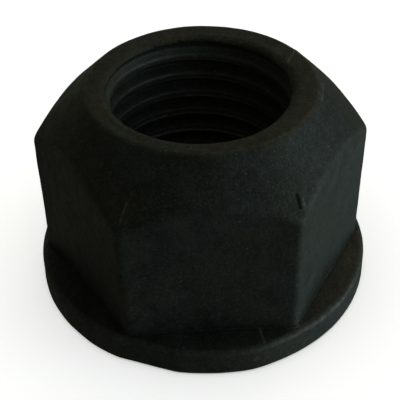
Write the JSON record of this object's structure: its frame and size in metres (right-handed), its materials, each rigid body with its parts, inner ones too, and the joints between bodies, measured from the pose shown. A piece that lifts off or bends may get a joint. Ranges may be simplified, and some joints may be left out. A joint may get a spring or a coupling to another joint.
{
  "type": "hex collar nut",
  "caption": "Forged steel hexagon nut with a thin round collar at its bearing face, a steep conical chamfer up to a narrow flat crown, and a coarse right-hand thread right through.",
  "frame": {"origin": "centre of the bearing face, on the bore's axis", "axes": "+Z along the bore towards the crown, -Y square out of one flat of the hexagon, +X through a corner of the hexagon"},
  "size_m": [0.0382, 0.0382, 0.0243],
  "materials": {
    "black_steel": "matte"
  },
  "bodies": {
    "root": {"hex_collar_nut": "black_steel"}
  },
  "joints": []
}
